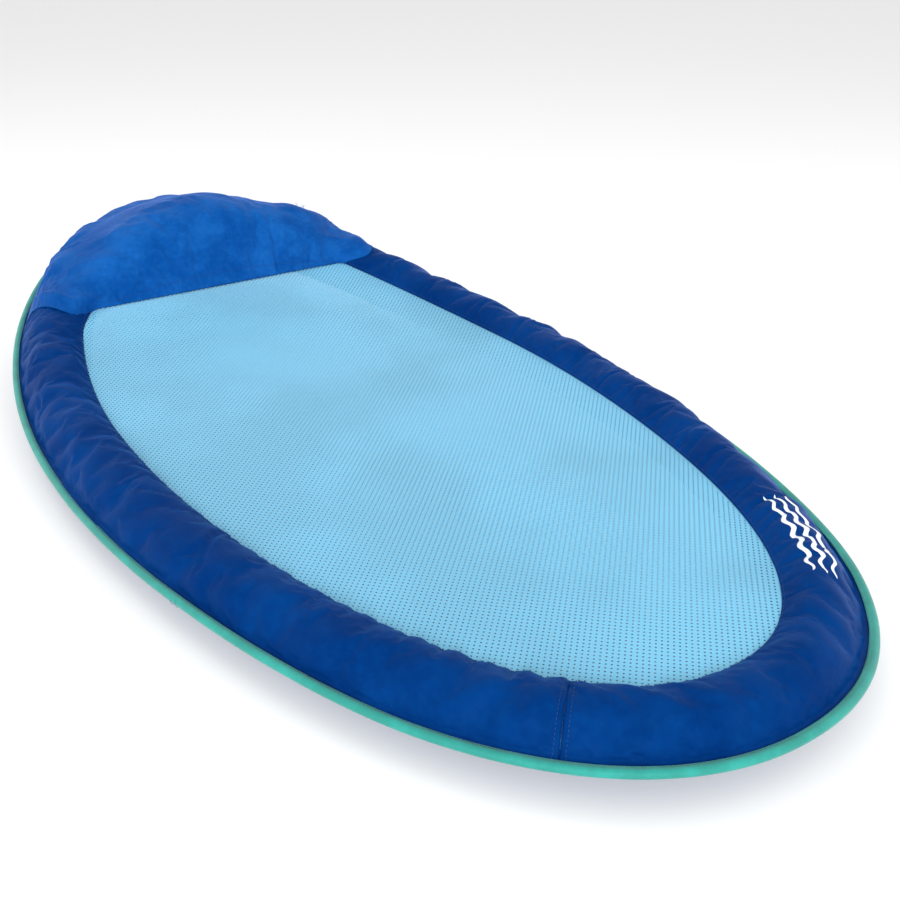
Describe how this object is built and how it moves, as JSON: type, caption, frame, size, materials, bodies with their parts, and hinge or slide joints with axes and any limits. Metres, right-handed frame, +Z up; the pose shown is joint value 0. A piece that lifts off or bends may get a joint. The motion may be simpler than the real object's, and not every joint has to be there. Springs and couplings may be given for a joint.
{
  "type": "inflatable pool float",
  "caption": "Oval air-filled ring around a mesh seat, with a raised air-filled headrest, a sprung outer edge and an air valve for each.",
  "frame": {"origin": "on the floor under the middle of the float's outline", "axes": "+Z up, +Y towards the head end with the headrest, +X to the right-hand side of the float seen from above with its head end up"},
  "size_m": [0.8872, 1.679, 0.2538],
  "materials": {
    "ring_fabric": "woven polyester, satin",
    "headrest_fabric": "woven polyester, satin",
    "edge_fabric": "woven binding tape, matt",
    "seat_mesh": "open knitted mesh, matt",
    "bladder_film": "clear soft film",
    "spring_steel": "drawn wire",
    "ferrule_metal": "drawn tube",
    "valve_plastic": "soft moulded plastic",
    "valve_rubber": "matt"
  },
  "bodies": {
    "root": {"spring_hoop": "spring_steel", "hoop_ferrule": "ferrule_metal", "edge_sleeve": "edge_fabric", "cover_top_head": "ring_fabric", "cover_top_left": "ring_fabric", "cover_top_foot": "ring_fabric", "cover_top_right": "ring_fabric", "cover_bottom_head": "ring_fabric", "cover_bottom_left": "ring_fabric", "cover_bottom_foot": "ring_fabric", "cover_bottom_right": "ring_fabric", "ring_bladder": "bladder_film", "mesh_panel": "seat_mesh", "headrest_cover_top": "headrest_fabric", "headrest_cover_bottom": "ring_fabric", "headrest_bladder": "bladder_film", "valve_base": "valve_plastic", "headrest_valve_collar": "valve_plastic"},
    "cap_seal": {"cap_gasket": "valve_rubber", "cap_tether": "valve_plastic"},
    "cap": {"valve_cap": "valve_plastic"},
    "inlet_flap": {"valve_flap": "valve_rubber"},
    "stem": {"headrest_valve_stem": "valve_plastic", "headrest_valve_strap": "valve_plastic"},
    "plug": {"headrest_valve_plug": "valve_plastic"},
    "stem_flap": {"headrest_valve_flap": "valve_rubber"}
  },
  "joints": [
    {"name": "cap_lift", "type": "slide", "parent": "root", "child": "cap_seal", "axis": [0, 0, -1], "range_m": [0, 0.006], "deforming": ["cap_tether"]},
    {"name": "cap_turn", "type": "hinge", "parent": "cap_seal", "child": "cap", "pos_m": [0, 0.77, 0.09], "axis": [0, 0, -1], "range_deg": [0, 720]},
    {"name": "inlet_flap_hinge", "type": "hinge", "parent": "root", "child": "inlet_flap", "pos_m": [-0.01, 0.77, 0.1052], "axis": [0, -1, 0], "range_deg": [0, 60], "stiffness_Nm_per_rad": 0.0005},
    {"name": "stem_pull", "type": "slide", "parent": "root", "child": "stem", "axis": [0.4499, 0.0921, 0.8883], "range_m": [0, 0.008]},
    {"name": "plug_pull", "type": "slide", "parent": "stem", "child": "plug", "axis": [0.4499, 0.0921, 0.8883], "range_m": [0, 0.016], "deforming": ["headrest_valve_strap"]},
    {"name": "stem_flap_hinge", "type": "hinge", "parent": "stem", "child": "stem_flap", "pos_m": [0.21575, 0.59939, 0.18769], "axis": [-0.8703, -0.1781, 0.4592], "range_deg": [0, 60], "stiffness_Nm_per_rad": 0.0003}
  ],
  "couplings": [
    {"joint": "cap_lift", "follows": "cap_turn", "m_per_rad": 0.00047746}
  ]
}
